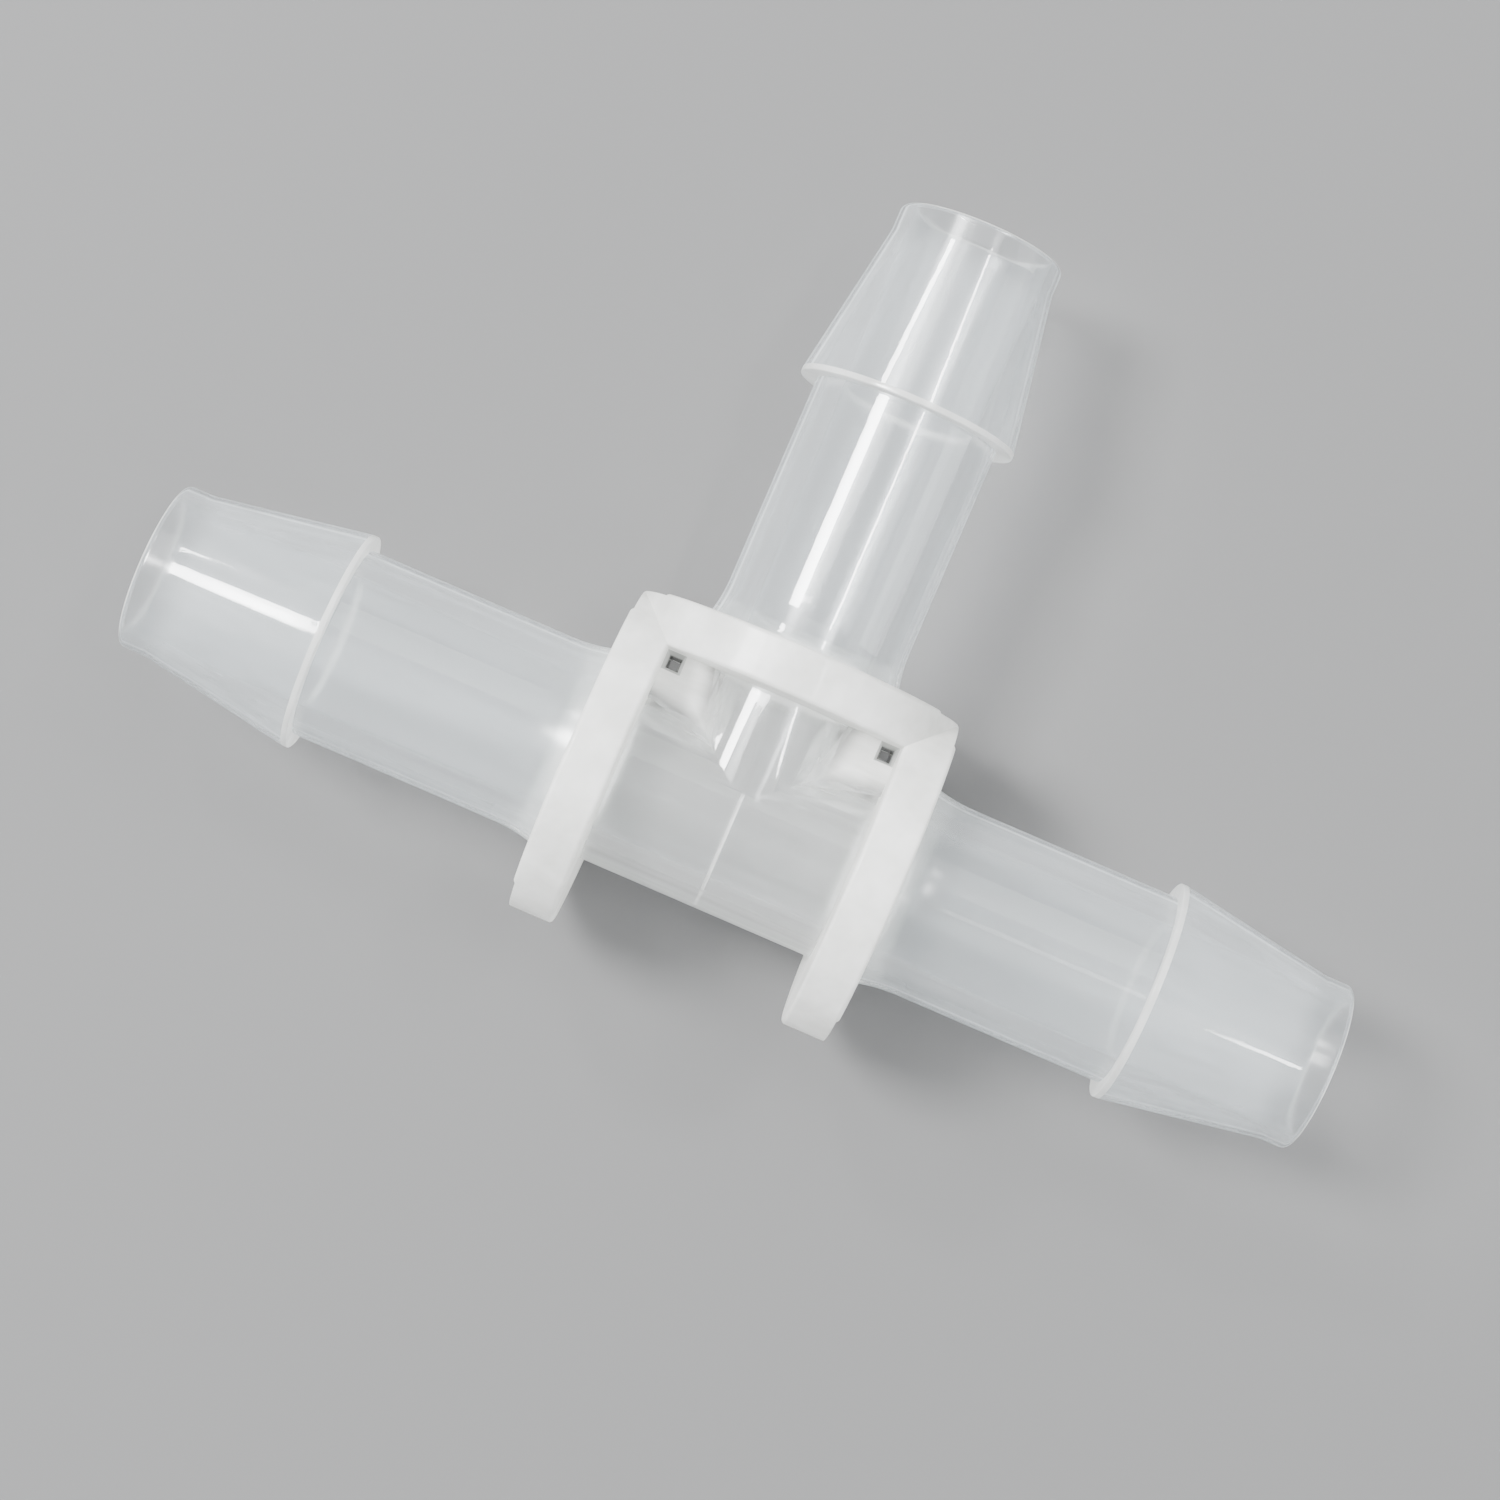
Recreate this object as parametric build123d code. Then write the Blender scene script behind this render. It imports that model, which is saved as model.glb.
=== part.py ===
from build123d import *
import os

# Equal barbed tee for 12 mm hose, one moulding divided into its regions. Millimetres.
# The run lies along X and the branch points along +Y. The origin is where the two axes meet.

# Water way: straight in the hub, opening slightly towards each tip
RUN_BORE_R = 4.0
BRANCH_BORE_R = 3.8  # smaller than the run's, so the two cores shut off cleanly
TIP_BORE_R = 4.4
MOUTH_CHAMFER = 0.15

# Tubes: the branch is a little slimmer than the run all along
RUN_R = 6.0
BRANCH_R = 5.85

# Collars
COLLAR_R = 10.25
COLLAR_INNER = 7.45  # distance of a collar's inner face from the hub's centre
COLLAR_OUTER = 10.2  # distance of the sunk band across its outer face
BAND_STEP = 0.15  # how far the rest of the outer face stands above the band
BAND_HALF_HEIGHT = 5.3
RIM_ROUND = 0.25

# Spigot and barb, measured along the arm from the hub's centre
ROOT_RISE = 0.45  # the tube swells by this much where it meets the collar
ROOT_LENGTH = 2.8
BARB_BACK = 26.2
CREST_R = 6.9
CREST_LAND = 0.3
NOSE_START = 36.3
NOSE_R = 5.25
TIP = 38.0
LIP_ROUND = 0.4

# Corner webs: a roof that falls outwards from the crease between run and neck
WEB_START_X = 1.9
WEB_START_Y = 2.46
ROOF_HEIGHT = 6.26  # height of the roof's plane above the hub's centre
ROOF_FALL = 0.255  # fall for each millimetre outwards along the diagonal
PIN_HOLE = 0.55  # side of the square hole left by the mould
PIN_HOLE_AT = 6.86
FUNNEL_TOP = 1.7
FUNNEL_FLOOR = 0.4  # half height of the hole's straight part

ALONG_BRANCH = 90
ALONG_LEFT = 180

# Each arm's turn from +X, tube radius and bore radius in the hub
ARMS = {
    "left": (ALONG_LEFT, RUN_R, RUN_BORE_R),
    "right": (0, RUN_R, RUN_BORE_R),
    "branch": (ALONG_BRANCH, BRANCH_R, BRANCH_BORE_R),
}
REACH = 20  # longer than any cut that it makes


def bore_radius(x, hub_bore):
    """Radius of an arm's tapering bore at distance x from the hub's centre."""
    share = (x - COLLAR_INNER) / (TIP - COLLAR_INNER)
    return hub_bore + (TIP_BORE_R - hub_bore) * share


def rod_x(radius, start, end):
    """Solid round bar along X."""
    bar = Plane.YZ.offset(start) * Circle(radius)
    return extrude(bar, end - start)


def rod_y(radius, start, end):
    """Solid round bar along Y."""
    return rod_x(radius, start, end).rotate(Axis.Z, ALONG_BRANCH)


def arm_bore(hub_bore, start, end):
    """The bore's cone between two distances along the arm."""
    outline = Polyline(
        (start, 0),
        (end, 0),
        (end, bore_radius(end, hub_bore)),
        (start, bore_radius(start, hub_bore)),
        close=True,
    )
    return revolve(make_face(outline), Axis.X)


def spigot(tube_r, hub_bore):
    """Smooth tube from the collar to the back of the barb, swelling at its root."""
    root_end = COLLAR_OUTER + ROOT_LENGTH
    swell = TangentArc((root_end, tube_r), (COLLAR_OUTER, tube_r + ROOT_RISE), tangent=(-1, 0))
    wall = Polyline(
        (COLLAR_OUTER, tube_r + ROOT_RISE),
        (COLLAR_OUTER, bore_radius(COLLAR_OUTER, hub_bore)),
        (BARB_BACK, bore_radius(BARB_BACK, hub_bore)),
        (BARB_BACK, tube_r),
        (root_end, tube_r),
    )
    return revolve(make_face(wall + swell), Axis.X)


def barb(hub_bore):
    """Hose barb: square back, narrow crest, long cone and a short straight nose."""
    crest_end = BARB_BACK + CREST_LAND
    lip = TangentArc((TIP - LIP_ROUND, NOSE_R), (TIP, NOSE_R - LIP_ROUND), tangent=(1, 0))
    wall = Polyline(
        (TIP, NOSE_R - LIP_ROUND),
        (TIP, TIP_BORE_R + MOUTH_CHAMFER),
        (TIP - MOUTH_CHAMFER, bore_radius(TIP - MOUTH_CHAMFER, hub_bore)),
        (BARB_BACK, bore_radius(BARB_BACK, hub_bore)),
        (BARB_BACK, CREST_R),
        (crest_end, CREST_R),
        (NOSE_START, NOSE_R),
        (TIP - LIP_ROUND, NOSE_R),
    )
    return revolve(make_face(wall + lip), Axis.X)


def collar(tube_r, hub_bore):
    """Disc that stops the hose, with a sunk band across its outer face."""
    disc = rod_x(COLLAR_R, COLLAR_INNER, COLLAR_OUTER + BAND_STEP)
    disc = fillet(disc.edges().filter_by(GeomType.CIRCLE), RIM_ROUND)
    band = Pos(COLLAR_OUTER + REACH / 2, 0, 0) * Box(REACH, 2 * REACH, 2 * BAND_HALF_HEIGHT)
    disc -= band
    disc -= arm_bore(hub_bore, COLLAR_INNER, COLLAR_OUTER)
    disc -= rod_x(bore_radius(COLLAR_OUTER, hub_bore), COLLAR_OUTER, COLLAR_OUTER + BAND_STEP)
    return disc - spigot(tube_r, hub_bore)


def beyond_mitre(side):
    """Everything nearer to the branch than to the run, on one side of the tee."""
    block = Pos(0, REACH, 0) * Box(4 * REACH, 2 * REACH, 2 * REACH)
    return block.rotate(Axis.Z, 45 * side)


def run_collar(arm, side):
    """Collar on the run, mitred against the branch collar. side is -1 on the left."""
    turn, tube_r, hub_bore = ARMS[arm]
    return collar(tube_r, hub_bore).rotate(Axis.Z, turn) - beyond_mitre(side)


def branch_collar():
    """Collar on the branch, mitred against both run collars."""
    turn, tube_r, hub_bore = ARMS["branch"]
    disc = collar(tube_r, hub_bore).rotate(Axis.Z, turn)
    return disc & beyond_mitre(-1) & beyond_mitre(1)


def run_body():
    """Tube of the run between its two collars, open to the branch."""
    tube = rod_x(RUN_R, -COLLAR_INNER, COLLAR_INNER) - rod_x(RUN_BORE_R, -COLLAR_INNER, COLLAR_INNER)
    return tube - rod_y(BRANCH_BORE_R, 0, REACH)


def branch_body():
    """Neck between the run tube and the branch collar."""
    neck = rod_y(BRANCH_R, 0, COLLAR_INNER) - rod_y(BRANCH_BORE_R, 0, COLLAR_INNER)
    return neck - rod_x(RUN_R, -REACH, REACH)


def pin_hole():
    """Square hole, straight at mid height and opening upwards and downwards."""
    hole = Box(PIN_HOLE, PIN_HOLE, 2 * REACH)
    small = Plane.XY.offset(FUNNEL_FLOOR) * Rectangle(PIN_HOLE, PIN_HOLE)
    large = Plane.XY.offset(RUN_R) * Rectangle(FUNNEL_TOP, FUNNEL_TOP)
    upper = loft([small, large])
    lower = upper.mirror(Plane.XY)
    return Pos(PIN_HOLE_AT, PIN_HOLE_AT, 0) * (hole + upper + lower)


def corner_web(side):
    """Web between run, neck and two collars. side is -1 on the left."""
    web = Box(
        COLLAR_INNER - WEB_START_X,
        COLLAR_INNER - WEB_START_Y,
        2 * ROOF_HEIGHT,
        align=(Align.MIN, Align.MIN, Align.CENTER),
    )
    web = Pos(WEB_START_X, WEB_START_Y, 0) * web
    roof = Plane(origin=(0, 0, ROOF_HEIGHT), z_dir=(ROOF_FALL, ROOF_FALL, 2**0.5))
    above = roof * Box(4 * REACH, 4 * REACH, REACH, align=(Align.CENTER, Align.CENTER, Align.MIN))
    web -= above
    web -= above.mirror(Plane.XY)
    web -= rod_x(RUN_R, -REACH, REACH)
    web -= rod_y(BRANCH_R, -REACH, REACH)
    web -= pin_hole()
    if side < 0:
        web = web.mirror(Plane.YZ)
    return web


def sub_parts():
    """Every node's name and solid."""
    parts = {
        "run_body": run_body(),
        "branch_body": branch_body(),
        "left_corner_web": corner_web(-1),
        "right_corner_web": corner_web(1),
        "left_collar": run_collar("left", -1),
        "right_collar": run_collar("right", 1),
        "branch_collar": branch_collar(),
    }
    for arm, (turn, tube_r, hub_bore) in ARMS.items():
        parts[f"{arm}_spigot"] = spigot(tube_r, hub_bore).rotate(Axis.Z, turn)
        parts[f"{arm}_barb"] = barb(hub_bore).rotate(Axis.Z, turn)
    return parts


os.makedirs("parts", exist_ok=True)
for name, solid in sub_parts().items():
    export_step(solid, f"parts/{name}.step")
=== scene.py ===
import math

import bmesh
import bpy
from mathutils import Matrix, Vector


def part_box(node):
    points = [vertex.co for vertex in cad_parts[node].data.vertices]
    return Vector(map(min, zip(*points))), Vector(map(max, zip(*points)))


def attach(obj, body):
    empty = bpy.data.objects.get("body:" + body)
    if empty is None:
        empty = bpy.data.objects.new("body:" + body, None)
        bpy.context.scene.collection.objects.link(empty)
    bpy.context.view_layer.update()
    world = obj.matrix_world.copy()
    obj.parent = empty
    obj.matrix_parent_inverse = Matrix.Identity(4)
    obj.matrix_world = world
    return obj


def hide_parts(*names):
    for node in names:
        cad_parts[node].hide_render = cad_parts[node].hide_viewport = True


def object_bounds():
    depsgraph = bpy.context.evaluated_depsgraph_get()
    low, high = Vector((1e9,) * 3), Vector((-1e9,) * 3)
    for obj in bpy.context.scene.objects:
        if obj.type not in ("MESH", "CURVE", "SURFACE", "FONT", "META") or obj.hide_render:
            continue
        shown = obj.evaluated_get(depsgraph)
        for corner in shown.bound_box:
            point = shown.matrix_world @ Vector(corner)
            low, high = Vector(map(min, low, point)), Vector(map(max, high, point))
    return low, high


# A milky barbed tee for 12 mm hose, lying on its three collars. Metres, in the CAD frame:
# the run lies along X, the branch points along +Y, and the two axes meet at the origin.

MM = 0.001

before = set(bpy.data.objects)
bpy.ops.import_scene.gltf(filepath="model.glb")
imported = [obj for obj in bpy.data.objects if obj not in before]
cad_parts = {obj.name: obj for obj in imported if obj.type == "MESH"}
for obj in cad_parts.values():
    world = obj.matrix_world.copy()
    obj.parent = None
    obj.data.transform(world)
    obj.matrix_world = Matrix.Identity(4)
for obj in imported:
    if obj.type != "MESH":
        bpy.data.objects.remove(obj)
cad_low, cad_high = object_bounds()

# ---------------------------------------------------------------- sizes of the arms

RUN_R = 6.0 * MM
BRANCH_R = 5.85 * MM
RUN_BORE_R = 4.0 * MM
BRANCH_BORE_R = 3.8 * MM
TUBE_R = {"left": RUN_R, "right": RUN_R, "branch": BRANCH_R}
HUB_BORE_R = {"left": RUN_BORE_R, "right": RUN_BORE_R, "branch": BRANCH_BORE_R}
TURN = {"left": math.pi, "right": 0.0, "branch": math.pi / 2}
TIP_BORE_R = 4.4 * MM
COLLAR_INNER = 7.45 * MM
ROOT_RISE = 0.45 * MM
ROOT_LENGTH = 2.8 * MM
ROOT_STEPS = 8
CREST_LAND = 0.3 * MM
CREST_EDGE = 0.07 * MM
NOSE_LENGTH = 1.7 * MM
NOSE_R = 5.25 * MM
NOSE_ROUND = 0.2 * MM
LIP_ROUND = 0.4 * MM
MOUTH_CHAMFER = 0.15 * MM
ROUND_STEPS = 128
SAME = 1e-6  # places nearer than this count as one
MERGED = 1e-7  # corners nearer than this are made one
BORE_SLACK = 0.02 * MM  # a face this little outside the bore's radius still belongs to it


def along_arm(node, arm):
    """Nearest and farthest distance of a node from the hub's centre, along its arm."""
    low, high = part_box(node)
    if arm == "left":
        return -high.x, -low.x
    if arm == "right":
        return low.x, high.x
    return low.y, high.y


TIP = along_arm("right_barb", "right")[1]
NOSE_START = TIP - NOSE_LENGTH


def bore_radius(distance, arm):
    """Radius of the arm's bore, which opens slightly from the hub to the tip."""
    share = (distance - COLLAR_INNER) / (TIP - COLLAR_INNER)
    return HUB_BORE_R[arm] + (TIP_BORE_R - HUB_BORE_R[arm]) * share


# ---------------------------------------------------------------- steps of a finish

TUBE_COLOUR = (0.75, 0.785, 0.81)
THICK_COLOUR = (0.88, 0.88, 0.865)
CLEAR_COLOUR = (0.97, 0.98, 0.985, 1)
BENDING = 1.49  # polypropylene's index of refraction

# How finely the plastic's clouding and its skin's ripple repeat, per metre
ALONG_X = (60, 1300, 1300)
ALONG_Y = (1300, 60, 1300)
GRAIN = (300, 300, 300)
RIPPLE = 700.0
NOISE_MIDDLE = (0.3, 0.7)  # where nearly all of a noise's values lie
RIPPLE_GLOSS = (-0.04, 0.06)  # how far the ripple takes the roughness down and up

# Haze added in two bands near the outline: from, to, softness and amount.
# The bands lie between 0, facing the eye, and 1, seen edge on.
WALL_LINE = (0.67, 0.7, 0.02, 0.35)
WALL_GAP = (0.75, 0.81, 0.03, -0.4)

WEB_SOLID = 0.9 * MM  # a web this thick over both tubes is fully milky
# The mould mark's funnel gets painted shade: its colour darkens towards the bottom, where little
# light reaches.
FUNNEL_SHADE_DEEPEST = 1.1 * MM  # height in the mould mark's funnel where it is darkest
FUNNEL_SHADE_GONE = 2.1 * MM  # and where it has the plastic's own colour
NOSE_CLEARS = (NOSE_START - 1.6 * MM, NOSE_START + 0.2 * MM)  # where the barb turns clear

# Axis of the arm, where the change starts and ends, roughness added before and after it
DULL_ROOT = ("X", 12.5 * MM, 14.0 * MM, 0.15, 0.0)
DULL_NOSE = ("X", NOSE_START - 0.5 * MM, NOSE_START, 0.0, 0.12)


def add(tree, kind, **settings):
    """One shader node, with its plain settings and its named inputs."""
    node = tree.nodes.new(kind)
    for name, value in settings.items():
        if name in node.inputs:
            node.inputs[name].default_value = value
        else:
            setattr(node, name, value)
    return node


def feed(tree, value, socket):
    """Sets an input to a number, or joins it to another node's output."""
    if isinstance(value, (int, float)):
        socket.default_value = value
    else:
        tree.links.new(value, socket)


def maths(tree, operation, *values, clamp=False):
    """One step of arithmetic on numbers and other nodes' outputs."""
    node = add(tree, "ShaderNodeMath", operation=operation, use_clamp=clamp)
    for value, socket in zip(values, node.inputs):
        feed(tree, value, socket)
    return node.outputs[0]


def remap(tree, source, start, end, low=0.0, high=1.0, soft=False):
    """Stretches a value from the range start to end onto the range low to high."""
    node = add(tree, "ShaderNodeMapRange", interpolation_type="SMOOTHSTEP" if soft else "LINEAR")
    for name, value in (("From Min", start), ("From Max", end), ("To Min", low), ("To Max", high)):
        feed(tree, value, node.inputs[name])
    feed(tree, source, node.inputs["Value"])
    return node.outputs["Result"]


def even_range(tree, source, low, high):
    """The middle of a noise spread evenly between two values."""
    return remap(tree, source, *NOISE_MIDDLE, low, high)


def between(tree, source, low, high, soft):
    """1 where a value lies between two limits, falling softly to 0 outside them."""
    rise = remap(tree, source, low - soft, low, soft=True)
    fall = remap(tree, source, high, high + soft, 1.0, 0.0, soft=True)
    return maths(tree, "MULTIPLY", rise, fall)


def wall_lines(tree, cover, facing):
    """Just inside the tube's outline its wall shows as a thin pale line and a clearer gap."""
    for *band, amount in (WALL_LINE, WALL_GAP):
        cover = maths(tree, "MULTIPLY_ADD", between(tree, facing, *band), amount, cover)
    return cover


def from_centre(tree, place, axis):
    """Distance from the hub's centre along one axis, the same on both sides."""
    apart = add(tree, "ShaderNodeSeparateXYZ")
    feed(tree, place, apart.inputs[0])
    return maths(tree, "ABSOLUTE", apart.outputs[axis])


def above_tube(tree, place, across, radius):
    """How far a point lies outside a tube's skin; across is 0 on the tube's own axis."""
    flat = add(tree, "ShaderNodeVectorMath", operation="MULTIPLY")
    flat.inputs[1].default_value = across
    feed(tree, place, flat.inputs[0])
    length = add(tree, "ShaderNodeVectorMath", operation="LENGTH")
    feed(tree, flat.outputs["Vector"], length.inputs[0])
    return maths(tree, "SUBTRACT", length.outputs["Value"], radius)


def web_thickness(tree, place):
    """0 on the tubes and 1 where the corner web is thick over both of them."""
    over_run = above_tube(tree, place, (0, 1, 1), RUN_R)
    over_branch = above_tube(tree, place, (1, 0, 1), BRANCH_R)
    nearer = maths(tree, "MINIMUM", over_run, over_branch)
    return remap(tree, nearer, 0.0, WEB_SOLID, soft=True)


def two_colours(tree, share, first, second):
    """The first colour where the share is 0, and the second where it is 1."""
    blend = add(tree, "ShaderNodeMix", data_type="RGBA")
    blend.inputs["A"].default_value = (*first, 1)
    blend.inputs["B"].default_value = (*second, 1)
    feed(tree, share, blend.inputs["Factor"])
    return blend.outputs["Result"]


def flow_colour(tree, streaks, colour, spread):
    """The plastic's colour, by turns a little deeper and warmer, and paler, where it flowed."""
    deep, pale = 1 - spread, 1 + 0.3 * spread
    red, green, blue = colour
    deeper = (deep * red, deep * green, 0.98 * deep * blue)
    paler = (pale * red, pale * green, pale * blue)
    return two_colours(tree, even_range(tree, streaks, 0, 1), deeper, paler)


def painted_funnel_shade(tree, place, dark, pale):
    """Painted shade in the mould mark's funnel: darker towards its bottom, at mid height of the
    web.
    """
    height = from_centre(tree, place, "Z")
    share = remap(tree, height, FUNNEL_SHADE_DEEPEST, FUNNEL_SHADE_GONE, soft=True)
    return two_colours(tree, share, dark, pale)


def new_finish(name):
    """An empty material and its node tree."""
    material = bpy.data.materials.new(name)
    material.use_nodes = True
    material.node_tree.nodes.clear()
    return material, material.node_tree


def clouding(tree, place, flow):
    """Fine clouds in the plastic, drawn out the way that it flowed."""
    squeeze = add(tree, "ShaderNodeMapping")
    squeeze.inputs["Scale"].default_value = flow
    feed(tree, place, squeeze.inputs["Vector"])
    clouds = add(tree, "ShaderNodeTexNoise", Scale=1.0, Detail=3.0, Roughness=0.55)
    feed(tree, squeeze.outputs["Vector"], clouds.inputs["Vector"])
    return clouds.outputs["Fac"]


def mould_ripple(tree, place):
    """The slight unevenness of the moulded skin, as a value and as a bump."""
    ripple = add(tree, "ShaderNodeTexNoise", Scale=RIPPLE, Detail=1.0, Roughness=0.5)
    feed(tree, place, ripple.inputs["Vector"])
    bump = add(tree, "ShaderNodeBump", Strength=0.07, Distance=0.06 * MM)
    feed(tree, ripple.outputs["Fac"], bump.inputs["Height"])
    return ripple.outputs["Fac"], bump.outputs["Normal"]


def hazy_plastic(tree, shade, roughness, normal, glow, depth):
    """The milky part of the plastic: a glossy skin that also glows with light from behind."""
    skin = add(tree, "ShaderNodeBsdfPrincipled", IOR=BENDING)
    skin.inputs["Subsurface Weight"].default_value = depth
    skin.inputs["Subsurface Radius"].default_value = (1.0, 1.0, 1.0)
    skin.inputs["Subsurface Scale"].default_value = 3 * MM
    feed(tree, shade, skin.inputs["Base Color"])
    feed(tree, roughness, skin.inputs["Roughness"])
    feed(tree, normal, skin.inputs["Normal"])
    through = add(tree, "ShaderNodeBsdfTranslucent")
    feed(tree, shade, through.inputs["Color"])
    return mixed(tree, glow, skin, through)


def clear_plastic(tree, roughness, normal):
    """The part of the plastic that is seen through."""
    clear = add(tree, "ShaderNodeBsdfGlass", IOR=BENDING)
    clear.inputs["Color"].default_value = CLEAR_COLOUR
    feed(tree, roughness, clear.inputs["Roughness"])
    feed(tree, normal, clear.inputs["Normal"])
    return clear


def mixed(tree, share, first, second):
    """Two shaders mixed: the first where the share is 0, and the second where it is 1."""
    mix = add(tree, "ShaderNodeMixShader")
    feed(tree, share, mix.inputs["Fac"])
    feed(tree, first.outputs[0], mix.inputs[1])
    feed(tree, second.outputs[0], mix.inputs[2])
    return mix


def let_light_by(tree, plastic, share):
    """The haze lets part of each lamp's light on to what lies behind."""
    path = add(tree, "ShaderNodeLightPath")
    passed = add(tree, "ShaderNodeBsdfTransparent")
    passed.inputs["Color"].default_value = (share, share, share, 1)
    return mixed(tree, path.outputs["Is Shadow Ray"], plastic, passed)


def milky(
    name, colour, head_on, edge_on, rise, flow, streaks,
    glow=0.35, gloss=0.15, clear_gloss=0.06, depth=0.0, spread=0.11, lets_by=0.6,
    tube=False, web_cover=None, nose=None, dull=None, pit_shade=None,
):
    """Natural polypropylene: glossy and hazy, and more solid where the eye meets it edge on.

    The haze hides a share head_on of what lies behind it where it faces the eye, and edge_on
    at the outline, and a higher rise keeps it clear for longer. Over the corner webs
    web_cover takes the place of head_on, and on a barb's nose, the share that nose names
    with its arm's axis. gloss and clear_gloss are the roughness of the milky and of the
    clear part, and dull says where along an arm both rise. The last paints shade in a funnel.
    """
    material, tree = new_finish(name)
    place = add(tree, "ShaderNodeTexCoord").outputs["Object"]
    clouds = clouding(tree, place, flow)
    ripple, normal = mould_ripple(tree, place)

    # How much of what lies behind the haze hides
    if nose is not None:
        axis, nose_cover = nose
        on_nose = remap(tree, from_centre(tree, place, axis), *NOSE_CLEARS, soft=True)
        head_on = remap(tree, on_nose, 0.0, 1.0, head_on, nose_cover)
    if web_cover is not None:
        head_on = remap(tree, web_thickness(tree, place), 0.0, 1.0, head_on, web_cover)
    facing = add(tree, "ShaderNodeLayerWeight", Blend=0.5).outputs["Facing"]
    cover = remap(tree, maths(tree, "POWER", facing, rise), 0.0, 1.0, head_on, edge_on)
    if tube:
        cover = wall_lines(tree, cover, facing)
    uneven = even_range(tree, clouds, 1 - streaks, 1 + streaks)
    cover = maths(tree, "MULTIPLY", cover, uneven, clamp=True)

    # Colour: the plastic's clouded colour, or in a funnel, painted shade that is darkest at its
    # bottom
    if pit_shade is None:
        shade = flow_colour(tree, clouds, colour, spread)
    else:
        shade = painted_funnel_shade(tree, place, pit_shade, colour)
    gloss = even_range(tree, ripple, *(gloss + change for change in RIPPLE_GLOSS))
    if dull is not None:
        axis, start, end, before, after = dull
        beyond = remap(tree, from_centre(tree, place, axis), start, end, soft=True)
        duller = remap(tree, beyond, 0.0, 1.0, before, after)
        gloss = maths(tree, "ADD", duller, gloss)
        clear_gloss = maths(tree, "ADD", duller, clear_gloss)

    haze = hazy_plastic(tree, shade, gloss, normal, glow, depth)
    plastic = mixed(tree, cover, clear_plastic(tree, clear_gloss, normal), haze)
    lit = let_light_by(tree, plastic, lets_by)
    out = add(tree, "ShaderNodeOutputMaterial")
    feed(tree, lit.outputs[0], out.inputs["Surface"])
    return material


# ---------------------------------------------------------------- the tee's finishes

def tube_skin(name, head_on, flow, **more):
    """Outside of a tube or barb, thin enough to see through."""
    return milky(
        name, TUBE_COLOUR, head_on, edge_on=0.95, rise=2.4, flow=flow, streaks=0.15,
        tube=True, **more,
    )


def bore_skin(name, head_on, edge_on, rise, flow, streaks):
    """Inside of a tube, left a little rougher by the mould's core."""
    return milky(
        name, TUBE_COLOUR, head_on, edge_on, rise, flow, streaks,
        gloss=0.16, clear_gloss=0.16, lets_by=0.85,
    )


def hub_outside():
    """Clear over the tubes and solid where the corner webs are thick."""
    return milky(
        "milky_hub_skin", THICK_COLOUR,
        head_on=0.18, edge_on=0.95, rise=2.4, flow=ALONG_X, streaks=0.08,
        web_cover=0.95, lets_by=0.35,
    )


def thick_edge():
    """The barb's square back and the mouth's edge, seen through their whole depth."""
    return milky(
        "milky_thick_edge", THICK_COLOUR,
        head_on=0.75, edge_on=0.95, rise=2.0, flow=GRAIN, streaks=0.06,
        glow=0.45, clear_gloss=0.1,
    )


def pin_mark():
    """Walls of the funnel that the mould leaves in each corner web, greyed and with painted shade
    that darkens towards the bottom.
    """
    return milky(
        "milky_pin_mark_painted_shade", (0.82, 0.83, 0.82),
        head_on=0.9, edge_on=0.95, rise=2.0, flow=GRAIN, streaks=0.06,
        # The last colour is the painted shade's darkest, at the bottom of the funnel
        clear_gloss=0.1, lets_by=0.3, pit_shade=(0.05, 0.05, 0.05),
    )


def core_line():
    """The hair line round the bore where the mould's two cores met."""
    return milky(
        "milky_core_line", (0.95, 0.95, 0.95),
        head_on=0.95, edge_on=1.0, rise=1.0, flow=ALONG_X, streaks=0.05,
        clear_gloss=0.1,
    )


def collar_plastic():
    """The collars: thick, duller and almost solid, with light soaking into them."""
    return milky(
        "milky_collar", THICK_COLOUR,
        head_on=0.9, edge_on=1.0, rise=2.0, flow=GRAIN, streaks=0.06,
        gloss=0.34, clear_gloss=0.1, depth=0.3, spread=0.16, lets_by=0.45,
    )


def plastic_runs_on():
    """Where two pieces of the one moulding meet there is no surface, so nothing shows."""
    material, tree = new_finish("plastic_runs_on")
    clear = add(tree, "ShaderNodeBsdfTransparent")
    out = add(tree, "ShaderNodeOutputMaterial")
    feed(tree, clear.outputs[0], out.inputs["Surface"])
    return material


run_skin = tube_skin("milky_run_skin", 0.16, ALONG_X, dull=DULL_ROOT)
branch_skin = tube_skin("milky_branch_skin", 0.11, ALONG_Y)
run_barb = tube_skin("milky_run_barb", 0.23, ALONG_X, nose=("X", 0.04), dull=DULL_NOSE)
branch_barb = tube_skin("milky_branch_barb", 0.18, ALONG_Y, nose=("Y", 0.03))
run_bore = bore_skin("milky_run_bore", 0.06, 0.5, rise=3.0, flow=ALONG_X, streaks=0.15)
branch_bore = bore_skin("milky_branch_bore", 0.04, 0.5, rise=3.0, flow=ALONG_Y, streaks=0.15)
hub_skin = hub_outside()
hub_bore = bore_skin("milky_hub_bore", 0.06, 0.6, rise=2.5, flow=ALONG_X, streaks=0.08)
edge_skin = thick_edge()
funnel = pin_mark()
flash = core_line()
thick = collar_plastic()
joined = plastic_runs_on()

TUBE_SKINS = {
    "left": (run_skin, run_bore),
    "right": (run_skin, run_bore),
    "branch": (branch_skin, branch_bore),
}
BARB_SKINS = {
    "left": (run_barb, run_bore),
    "right": (run_barb, run_bore),
    "branch": (branch_barb, branch_bore),
}


# ---------------------------------------------------------------- arms

# Slots of a turned piece
SKIN, BORE, RUNS_ON, EDGE = range(4)


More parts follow.
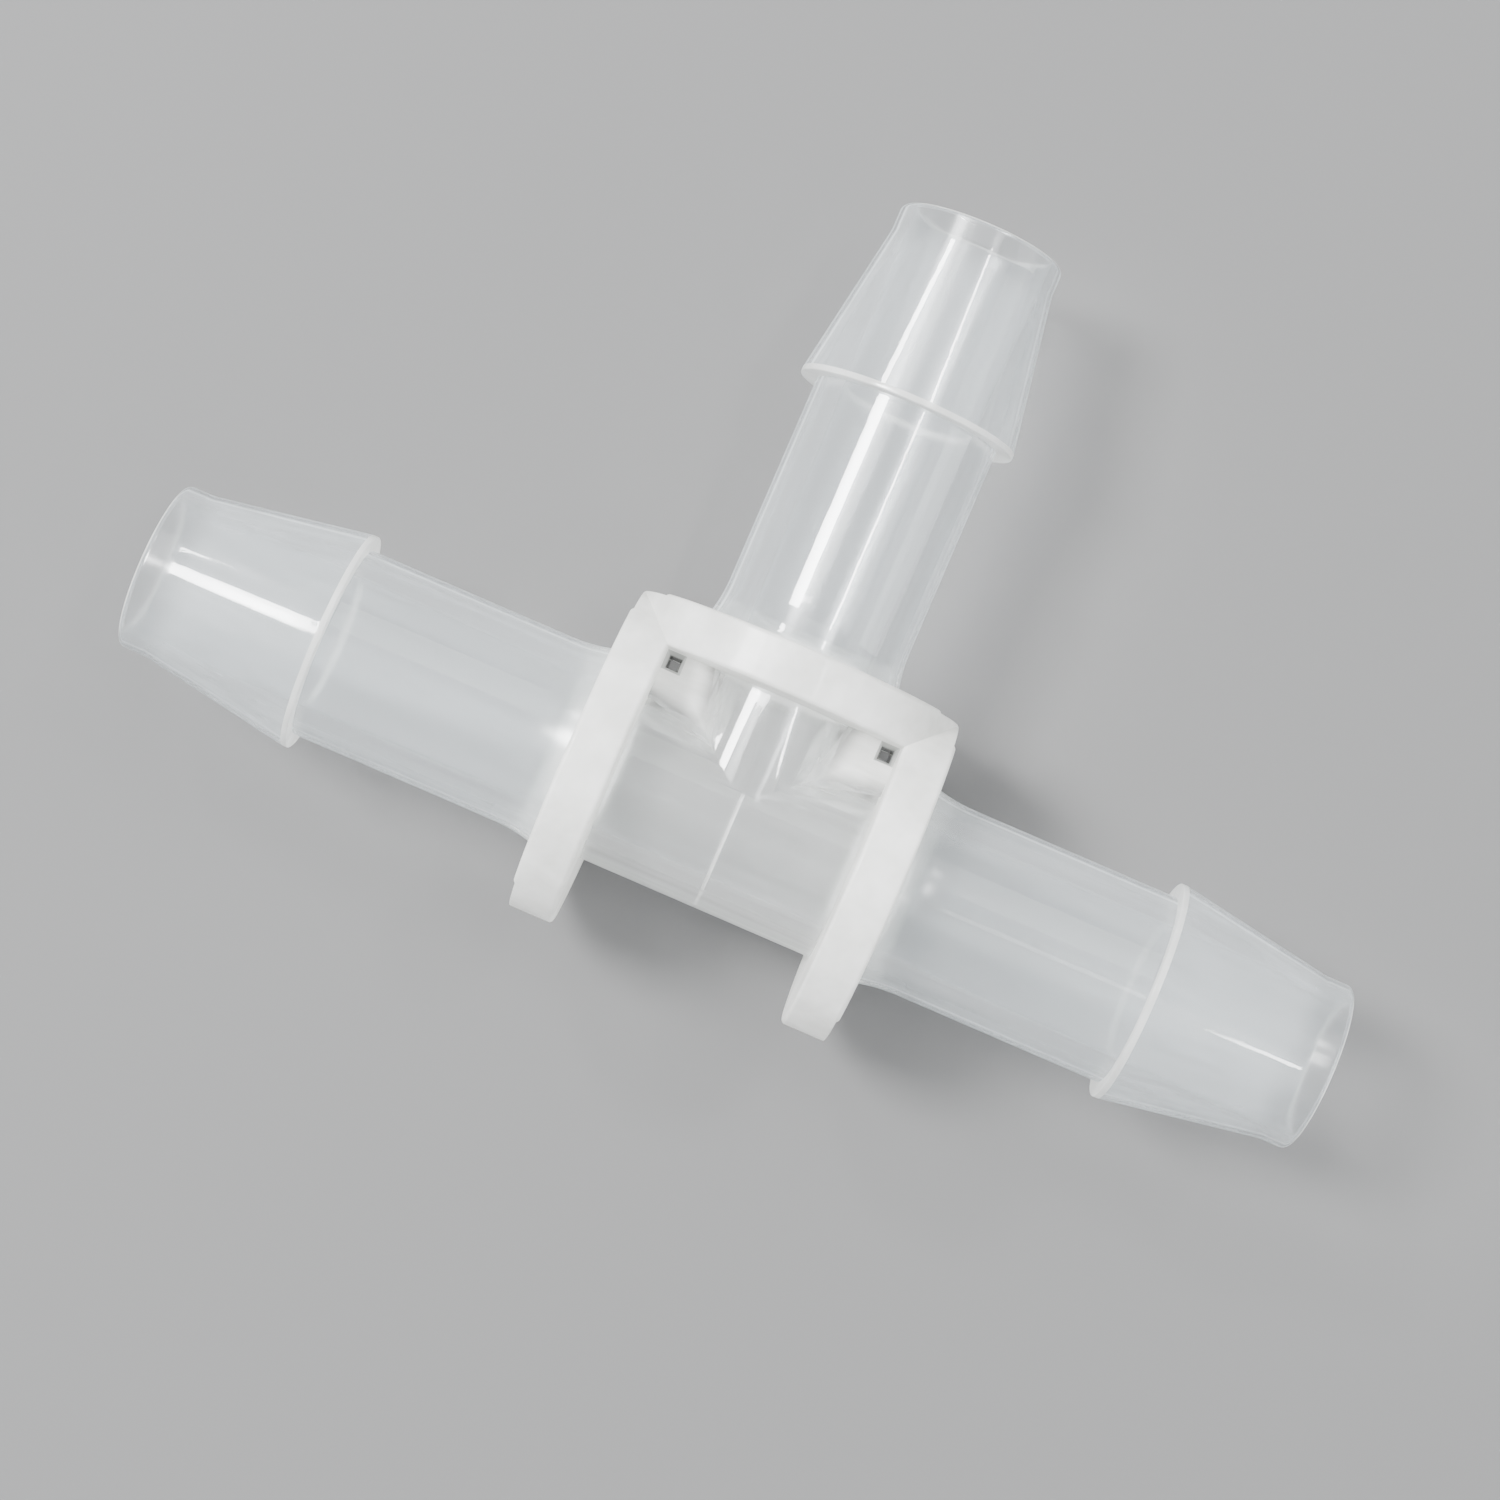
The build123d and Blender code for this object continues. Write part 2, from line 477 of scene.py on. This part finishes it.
def spin_round(bm, steps):
    """Spins an outline once round X and closes it."""
    bmesh.ops.spin(
        bm,
        geom=bm.verts[:] + bm.edges[:],
        cent=(0, 0, 0),
        axis=(1, 0, 0),
        angle=2 * math.pi,
        steps=steps,
        use_merge=True,
    )
    bmesh.ops.remove_doubles(bm, verts=bm.verts[:], dist=MERGED)
    bmesh.ops.recalc_face_normals(bm, faces=bm.faces[:])


def turn_outline(points):
    """A closed ring of plastic: the outline of (distance, radius) points spun about X."""
    bm = bmesh.new()
    corners = [bm.verts.new((distance, 0, radius)) for distance, radius in points]
    for a, b in zip(corners, corners[1:] + corners[:1]):
        bm.edges.new((a, b))
    spin_round(bm, ROUND_STEPS)
    return bm


def radius_of(point):
    """Distance of a point from the X axis."""
    return math.hypot(point.y, point.z)


def round_ring(bm, distance, radius, size, segments=3):
    """Rounds the sharp ring edge at that distance and radius."""

    def on_ring(vert):
        return abs(vert.co.x - distance) < SAME and abs(radius_of(vert.co) - radius) < SAME

    bmesh.ops.bevel(
        bm,
        geom=[edge for edge in bm.edges if all(on_ring(vert) for vert in edge.verts)],
        offset=size,
        offset_type="OFFSET",
        affect="EDGES",
        segments=segments,
        profile=0.5,
        material=-1,
    )


def finish_piece(bm, name, turn, materials, node, smooth_below=32):
    """Turns the piece onto its arm and hands it to the frame in place of its CAD node.

    Faces that meet at less than smooth_below degrees look like one smooth skin.
    """
    bmesh.ops.rotate(bm, verts=bm.verts[:], cent=(0, 0, 0), matrix=Matrix.Rotation(turn, 3, "Z"))
    for face in bm.faces:
        face.smooth = True
    mesh = bpy.data.meshes.new(name)
    bm.to_mesh(mesh)
    bm.free()
    mesh.set_sharp_from_angle(angle=math.radians(smooth_below))
    for material in materials:
        mesh.materials.append(material)
    piece = bpy.data.objects.new(name, mesh)
    bpy.context.scene.collection.objects.link(piece)
    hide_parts(node)
    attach(piece, "root")
    return piece


def in_bore(point, arm):
    """Whether a point of a turned piece lies on its bore."""
    return radius_of(point) < bore_radius(point.x, arm) + BORE_SLACK


def make_spigot(arm):
    """Smooth tube between the collar and the barb, swelling at its root."""
    node = arm + "_spigot"
    start, end = along_arm(node, arm)
    tube_r = TUBE_R[arm]
    outline = [(start, bore_radius(start, arm))]
    for step in range(ROOT_STEPS + 1):
        share = step / ROOT_STEPS
        outline.append((start + ROOT_LENGTH * share, tube_r + ROOT_RISE * (1 - share) ** 2))
    outline += [(end, tube_r), (end, bore_radius(end, arm))]
    bm = turn_outline(outline)
    for face in bm.faces:
        centre = face.calc_center_median()
        if min(abs(centre.x - start), abs(centre.x - end)) < SAME:
            face.material_index = RUNS_ON
        elif in_bore(centre, arm):
            face.material_index = BORE
    materials = [*TUBE_SKINS[arm], joined]
    piece = finish_piece(bm, arm + "_smooth_tube", TURN[arm], materials, node)


def make_barb(arm):
    """Square-backed barb with a narrow crest, a long cone and a short straight nose."""
    node = arm + "_barb"
    back, tip = along_arm(node, arm)
    crest_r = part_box(node)[1].z
    crest_end = back + CREST_LAND
    nose_start = tip - NOSE_LENGTH
    bm = turn_outline([
        (back, bore_radius(back, arm)),
        (back, TUBE_R[arm]),
        (back, crest_r),
        (crest_end, crest_r),
        (nose_start, NOSE_R),
        (tip, NOSE_R),
        (tip, TIP_BORE_R + MOUTH_CHAMFER),
        (tip - MOUTH_CHAMFER, bore_radius(tip - MOUTH_CHAMFER, arm)),
    ])
    round_ring(bm, tip, NOSE_R, LIP_ROUND, 6)
    round_ring(bm, back, crest_r, CREST_EDGE)
    round_ring(bm, crest_end, crest_r, CREST_EDGE)
    round_ring(bm, nose_start, NOSE_R, NOSE_ROUND)
    for face in bm.faces:
        centre = face.calc_center_median()
        at_crest = centre.x < crest_end + CREST_EDGE
        at_mouth = centre.x > tip - MOUTH_CHAMFER
        if abs(centre.x - back) < SAME and radius_of(centre) < TUBE_R[arm]:
            face.material_index = RUNS_ON
        elif in_bore(centre, arm):
            face.material_index = BORE
        elif at_crest or at_mouth:
            face.material_index = EDGE
    materials = [*BARB_SKINS[arm], joined, edge_skin]
    piece = finish_piece(bm, arm + "_hose_barb", TURN[arm], materials, node)


for arm in TURN:
    make_spigot(arm)
    make_barb(arm)


# ---------------------------------------------------------------- hub

WEB_START = (1.9 * MM, 2.46 * MM)
ROOF_HEIGHT = 6.26 * MM
ROOF_FALL = 0.255  # fall for each millimetre outwards along the diagonal
PIN_HOLE = 0.55 * MM
PIN_HOLE_AT = 6.86 * MM
FUNNEL_TOP = 1.7 * MM
FUNNEL_FLOOR = 0.4 * MM
FLASH = 0.1 * MM  # height of the line where the cores meet, and half its width
REACH = 20 * MM  # longer than any cut that it makes
SPARE = 1 * MM  # how far a solid runs past the face that it is trimmed to
HUB_STEPS = 192
CORE_SLACK = 0.03 * MM  # a face this little outside a core's radius still belongs to its bore
LINE_SLACK = 0.01 * MM  # a face this far inside the core's radius belongs to its line
PIN_SLACK = 0.1 * MM  # how far inside the funnel's top edge the pin mark ends

# The hub's further slots, after SKIN, BORE and RUNS_ON
CORE_LINE, PIN_MARK = 3, 4


def make_object(bm, name):
    """A loose object from a bmesh, smooth all over."""
    for face in bm.faces:
        face.smooth = True
    mesh = bpy.data.meshes.new(name)
    bm.to_mesh(mesh)
    bm.free()
    made = bpy.data.objects.new(name, mesh)
    bpy.context.scene.collection.objects.link(made)
    return made


def bar(radius, start, end, axis):
    """Solid round bar along X or Y."""
    bm = bmesh.new()
    bmesh.ops.create_cone(
        bm, cap_ends=True, segments=HUB_STEPS, radius1=radius, radius2=radius, depth=end - start
    )
    bmesh.ops.translate(bm, verts=bm.verts[:], vec=(0, 0, (start + end) / 2))
    if axis == "X":
        turn = Matrix.Rotation(math.pi / 2, 3, "Y")
    else:
        turn = Matrix.Rotation(-math.pi / 2, 3, "X")
    bmesh.ops.rotate(bm, verts=bm.verts[:], cent=(0, 0, 0), matrix=turn)
    return make_object(bm, "bar")


def run_core():
    """The run's two mould cores, with the hair line between them where they meet."""
    half = COLLAR_INNER + SPARE
    outline = [
        (-half, 0),
        (-half, RUN_BORE_R),
        (-FLASH, RUN_BORE_R),
        (0, RUN_BORE_R - FLASH),
        (FLASH, RUN_BORE_R),
        (half, RUN_BORE_R),
        (half, 0),
    ]
    bm = bmesh.new()
    points = [bm.verts.new((distance, 0, radius)) for distance, radius in outline]
    for a, b in zip(points, points[1:]):
        bm.edges.new((a, b))
    spin_round(bm, HUB_STEPS)
    return make_object(bm, "run_core")


def cube(low, high):
    """Plain block between two corners, still to be worked on."""
    bm = bmesh.new()
    bmesh.ops.create_cube(bm, size=1)
    bmesh.ops.scale(bm, verts=bm.verts[:], vec=Vector(high) - Vector(low))
    bmesh.ops.translate(bm, verts=bm.verts[:], vec=(Vector(high) + Vector(low)) / 2)
    return bm


def web_block(side):
    """Corner block between run and branch, under a roof that falls outwards, above and below."""
    far = COLLAR_INNER + SPARE
    bm = cube((*WEB_START, -ROOF_HEIGHT), (far, far, ROOF_HEIGHT))
    for up in (1, -1):
        cut = bmesh.ops.bisect_plane(
            bm,
            geom=bm.verts[:] + bm.edges[:] + bm.faces[:],
            dist=MERGED,
            plane_co=(0, 0, up * ROOF_HEIGHT),
            plane_no=(ROOF_FALL, ROOF_FALL, up * math.sqrt(2)),
            clear_outer=True,
        )
        rim = [e for e in cut["geom_cut"] if isinstance(e, bmesh.types.BMEdge)]
        bmesh.ops.holes_fill(bm, edges=rim)
    bmesh.ops.scale(bm, verts=bm.verts[:], vec=(side, 1, 1))
    bmesh.ops.recalc_face_normals(bm, faces=bm.faces[:])
    return make_object(bm, "web_block")


def funnel_tool(up):
    """Four-sided funnel that opens from the pin hole, upwards or downwards."""
    bm = bmesh.new()
    bmesh.ops.create_cone(
        bm,
        cap_ends=True,
        segments=4,
        radius1=PIN_HOLE / math.sqrt(2),
        radius2=FUNNEL_TOP / math.sqrt(2),
        depth=RUN_R - FUNNEL_FLOOR,
    )
    quarter_turn = Matrix.Rotation(math.pi / 4, 3, "Z")
    bmesh.ops.rotate(bm, verts=bm.verts[:], cent=(0, 0, 0), matrix=quarter_turn)
    middle = (RUN_R + FUNNEL_FLOOR) / 2
    bmesh.ops.translate(bm, verts=bm.verts[:], vec=(0, 0, middle))
    bmesh.ops.scale(bm, verts=bm.verts[:], vec=(1, 1, up))
    bmesh.ops.recalc_face_normals(bm, faces=bm.faces[:])
    return bm


def pin_holes(side):
    """Square hole and the two funnels that open from it, as cutting tools."""
    half = Vector((PIN_HOLE, PIN_HOLE, REACH)) / 2
    tools = [cube(-half, half), funnel_tool(1), funnel_tool(-1)]
    for bm in tools:
        bmesh.ops.translate(bm, verts=bm.verts[:], vec=(side * PIN_HOLE_AT, PIN_HOLE_AT, 0))
    return [make_object(bm, "pin_hole") for bm in tools]


def combine(body, tools, operation):
    """Adds the tools to the body, or cuts them out of it, and clears them away."""
    for tool in tools:
        step = body.modifiers.new("step", "BOOLEAN")
        step.operation = operation
        step.solver = "EXACT"
        step.object = tool
    scene_now = bpy.context.evaluated_depsgraph_get()
    made = bpy.data.meshes.new_from_object(body.evaluated_get(scene_now))
    body.modifiers.clear()
    body.data = made
    for tool in tools:
        bpy.data.objects.remove(tool)


def hub_slot(face):
    """Which of the hub's finishes a face takes."""
    centre = face.calc_center_median()
    past_ends = (abs(centre.x) - COLLAR_INNER, centre.y - COLLAR_INNER)
    from_run = radius_of(centre) - RUN_BORE_R
    from_branch = math.hypot(centre.x, centre.z) - BRANCH_BORE_R
    from_pin = max(abs(abs(centre.x) - PIN_HOLE_AT), abs(centre.y - PIN_HOLE_AT))
    if min(abs(past) for past in past_ends) < SAME:
        return RUNS_ON
    if abs(centre.x) < FLASH and from_run < -LINE_SLACK:
        return CORE_LINE
    if from_run < CORE_SLACK or (centre.y > 0 and from_branch < CORE_SLACK):
        return BORE
    if from_pin < FUNNEL_TOP / 2 - PIN_SLACK and abs(face.normal.z) < 0.5:
        return PIN_MARK
    return SKIN


def make_hub():
    """Run tube, neck and corner webs: one shell between the three collars."""
    edge = COLLAR_INNER
    body = bar(RUN_R, -edge - SPARE, edge + SPARE, "X")
    neck = bar(BRANCH_R, 0, edge + SPARE, "Y")
    combine(body, [neck, web_block(1), web_block(-1)], "UNION")
    trim = make_object(cube((-edge, -REACH, -REACH), (edge, edge, REACH)), "trim")
    combine(body, [trim], "INTERSECT")
    branch_core = bar(BRANCH_BORE_R, 0, REACH, "Y")
    combine(body, [run_core(), branch_core, *pin_holes(1), *pin_holes(-1)], "DIFFERENCE")
    bm = bmesh.new()
    bm.from_mesh(body.data)
    bpy.data.objects.remove(body)
    bmesh.ops.remove_doubles(bm, verts=bm.verts[:], dist=MERGED)
    bmesh.ops.triangulate(bm, faces=[f for f in bm.faces if len(f.verts) > 4])
    for face in bm.faces:
        face.material_index = hub_slot(face)
    materials = [hub_skin, hub_bore, joined, flash, funnel]
    piece = finish_piece(bm, "hub_shell", 0, materials, "run_body", 25)
    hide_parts("branch_body", "left_corner_web", "right_corner_web")


def dress(node, material):
    """Gives a CAD node its finish."""
    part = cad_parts[node]
    for slot in part.material_slots:
        slot.material = material


make_hub()
for arm in TURN:
    dress(arm + "_collar", thick)


# ---------------------------------------------------------------- floor, light and camera

# Each softbox: name, direction from the tee, distance, width, length and power.
# The keys light the tee from the left, and the lines and the glint from the right.
# The last two only soften the shadows.
SOFTBOXES = (
    ("key", (-0.55, 0.08, 0.83), 0.6, 0.14, 0.14, 9.0),
    ("inner_key", (-0.38, 0.06, 0.92), 0.6, 0.14, 0.07, 1.8),
    ("far_key", (-0.524, 0.47, 0.707), 0.6, 0.05, 0.06, 1.2),
    ("line", (0.29, 0.17, 0.94), 0.7, 0.02, 0.16, 1.3),
    ("far_line", (0.268, 0.481, 0.834), 0.7, 0.02, 0.08, 0.7),
    ("glint", (0.502, -0.165, 0.848), 0.7, 0.04, 0.04, 0.4),
    ("faint_line", (0.13, -0.09, 0.99), 0.7, 0.07, 0.055, 0.075),
    ("overhead", (0.05, 0.52, 0.85), 0.9, 0.7, 0.5, 2.5),
    ("side_fill", (0.94, -0.05, 0.3), 0.7, 0.4, 0.5, 2.0),
)


def floor():
    """Plain pale ground under the collars."""
    bm = bmesh.new()
    bmesh.ops.create_grid(bm, x_segments=1, y_segments=1, size=1.5)
    bmesh.ops.translate(bm, verts=bm.verts[:], vec=(0, 0, cad_low.z))
    mesh = bpy.data.meshes.new("pale_floor")
    bm.to_mesh(mesh)
    bm.free()
    ground = bpy.data.objects.new("pale_floor", mesh)
    bpy.context.scene.collection.objects.link(ground)
    material = bpy.data.materials.new("pale_floor_paint")
    material.use_nodes = True
    paint = material.node_tree.nodes["Principled BSDF"]
    paint.inputs["Base Color"].default_value = (0.14, 0.14, 0.14, 1)
    paint.inputs["Roughness"].default_value = 0.9
    paint.inputs["Specular IOR Level"].default_value = 0.2
    mesh.materials.append(material)


def softbox(name, direction, distance, width, length, power):
    """Soft studio light that faces the tee's middle; its length runs along Y."""
    light = bpy.data.lights.new(name, "AREA")
    light.shape = "RECTANGLE"
    light.size = width
    light.size_y = length
    light.energy = power
    lamp = bpy.data.objects.new(name, light)
    way = Vector(direction).normalized()
    across = Vector((0, 1, 0)).cross(way).normalized()
    turn = Matrix((across, way.cross(across), way)).transposed()
    lamp.location = way * distance
    lamp.rotation_mode = "QUATERNION"
    lamp.rotation_quaternion = turn.to_quaternion()
    bpy.context.scene.collection.objects.link(lamp)


def room_light():
    """Even pale light from all round."""
    world = bpy.data.worlds.new("studio")
    world.use_nodes = True
    sky = world.node_tree.nodes["Background"]
    sky.inputs["Color"].default_value = (0.92, 0.96, 1.0, 1)
    sky.inputs["Strength"].default_value = 1.0
    bpy.context.scene.world = world


def camera():
    """Nearly straight down, with the run falling to the right."""
    place = Vector((-0.92, -2.88, 201.1)) * MM
    look = Vector((-0.02345, 0.04623, -0.99866))
    up = Vector((-0.39593, 0.91685, 0.05173))
    side = look.cross(up).normalized()
    up = side.cross(look).normalized()
    data = bpy.data.cameras.new("camera")
    data.sensor_width = 36
    data.lens = 80.4
    data.shift_x = 0.04
    data.shift_y = -0.0467
    data.clip_start = 0.01
    data.clip_end = 10
    eye = bpy.data.objects.new("camera", data)
    turn = Matrix((side, up, -look)).transposed()
    eye.matrix_world = Matrix.Translation(place) @ turn.to_4x4()
    bpy.context.scene.collection.objects.link(eye)
    bpy.context.scene.camera = eye


floor()
room_light()
for box in SOFTBOXES:
    softbox(*box)
camera()
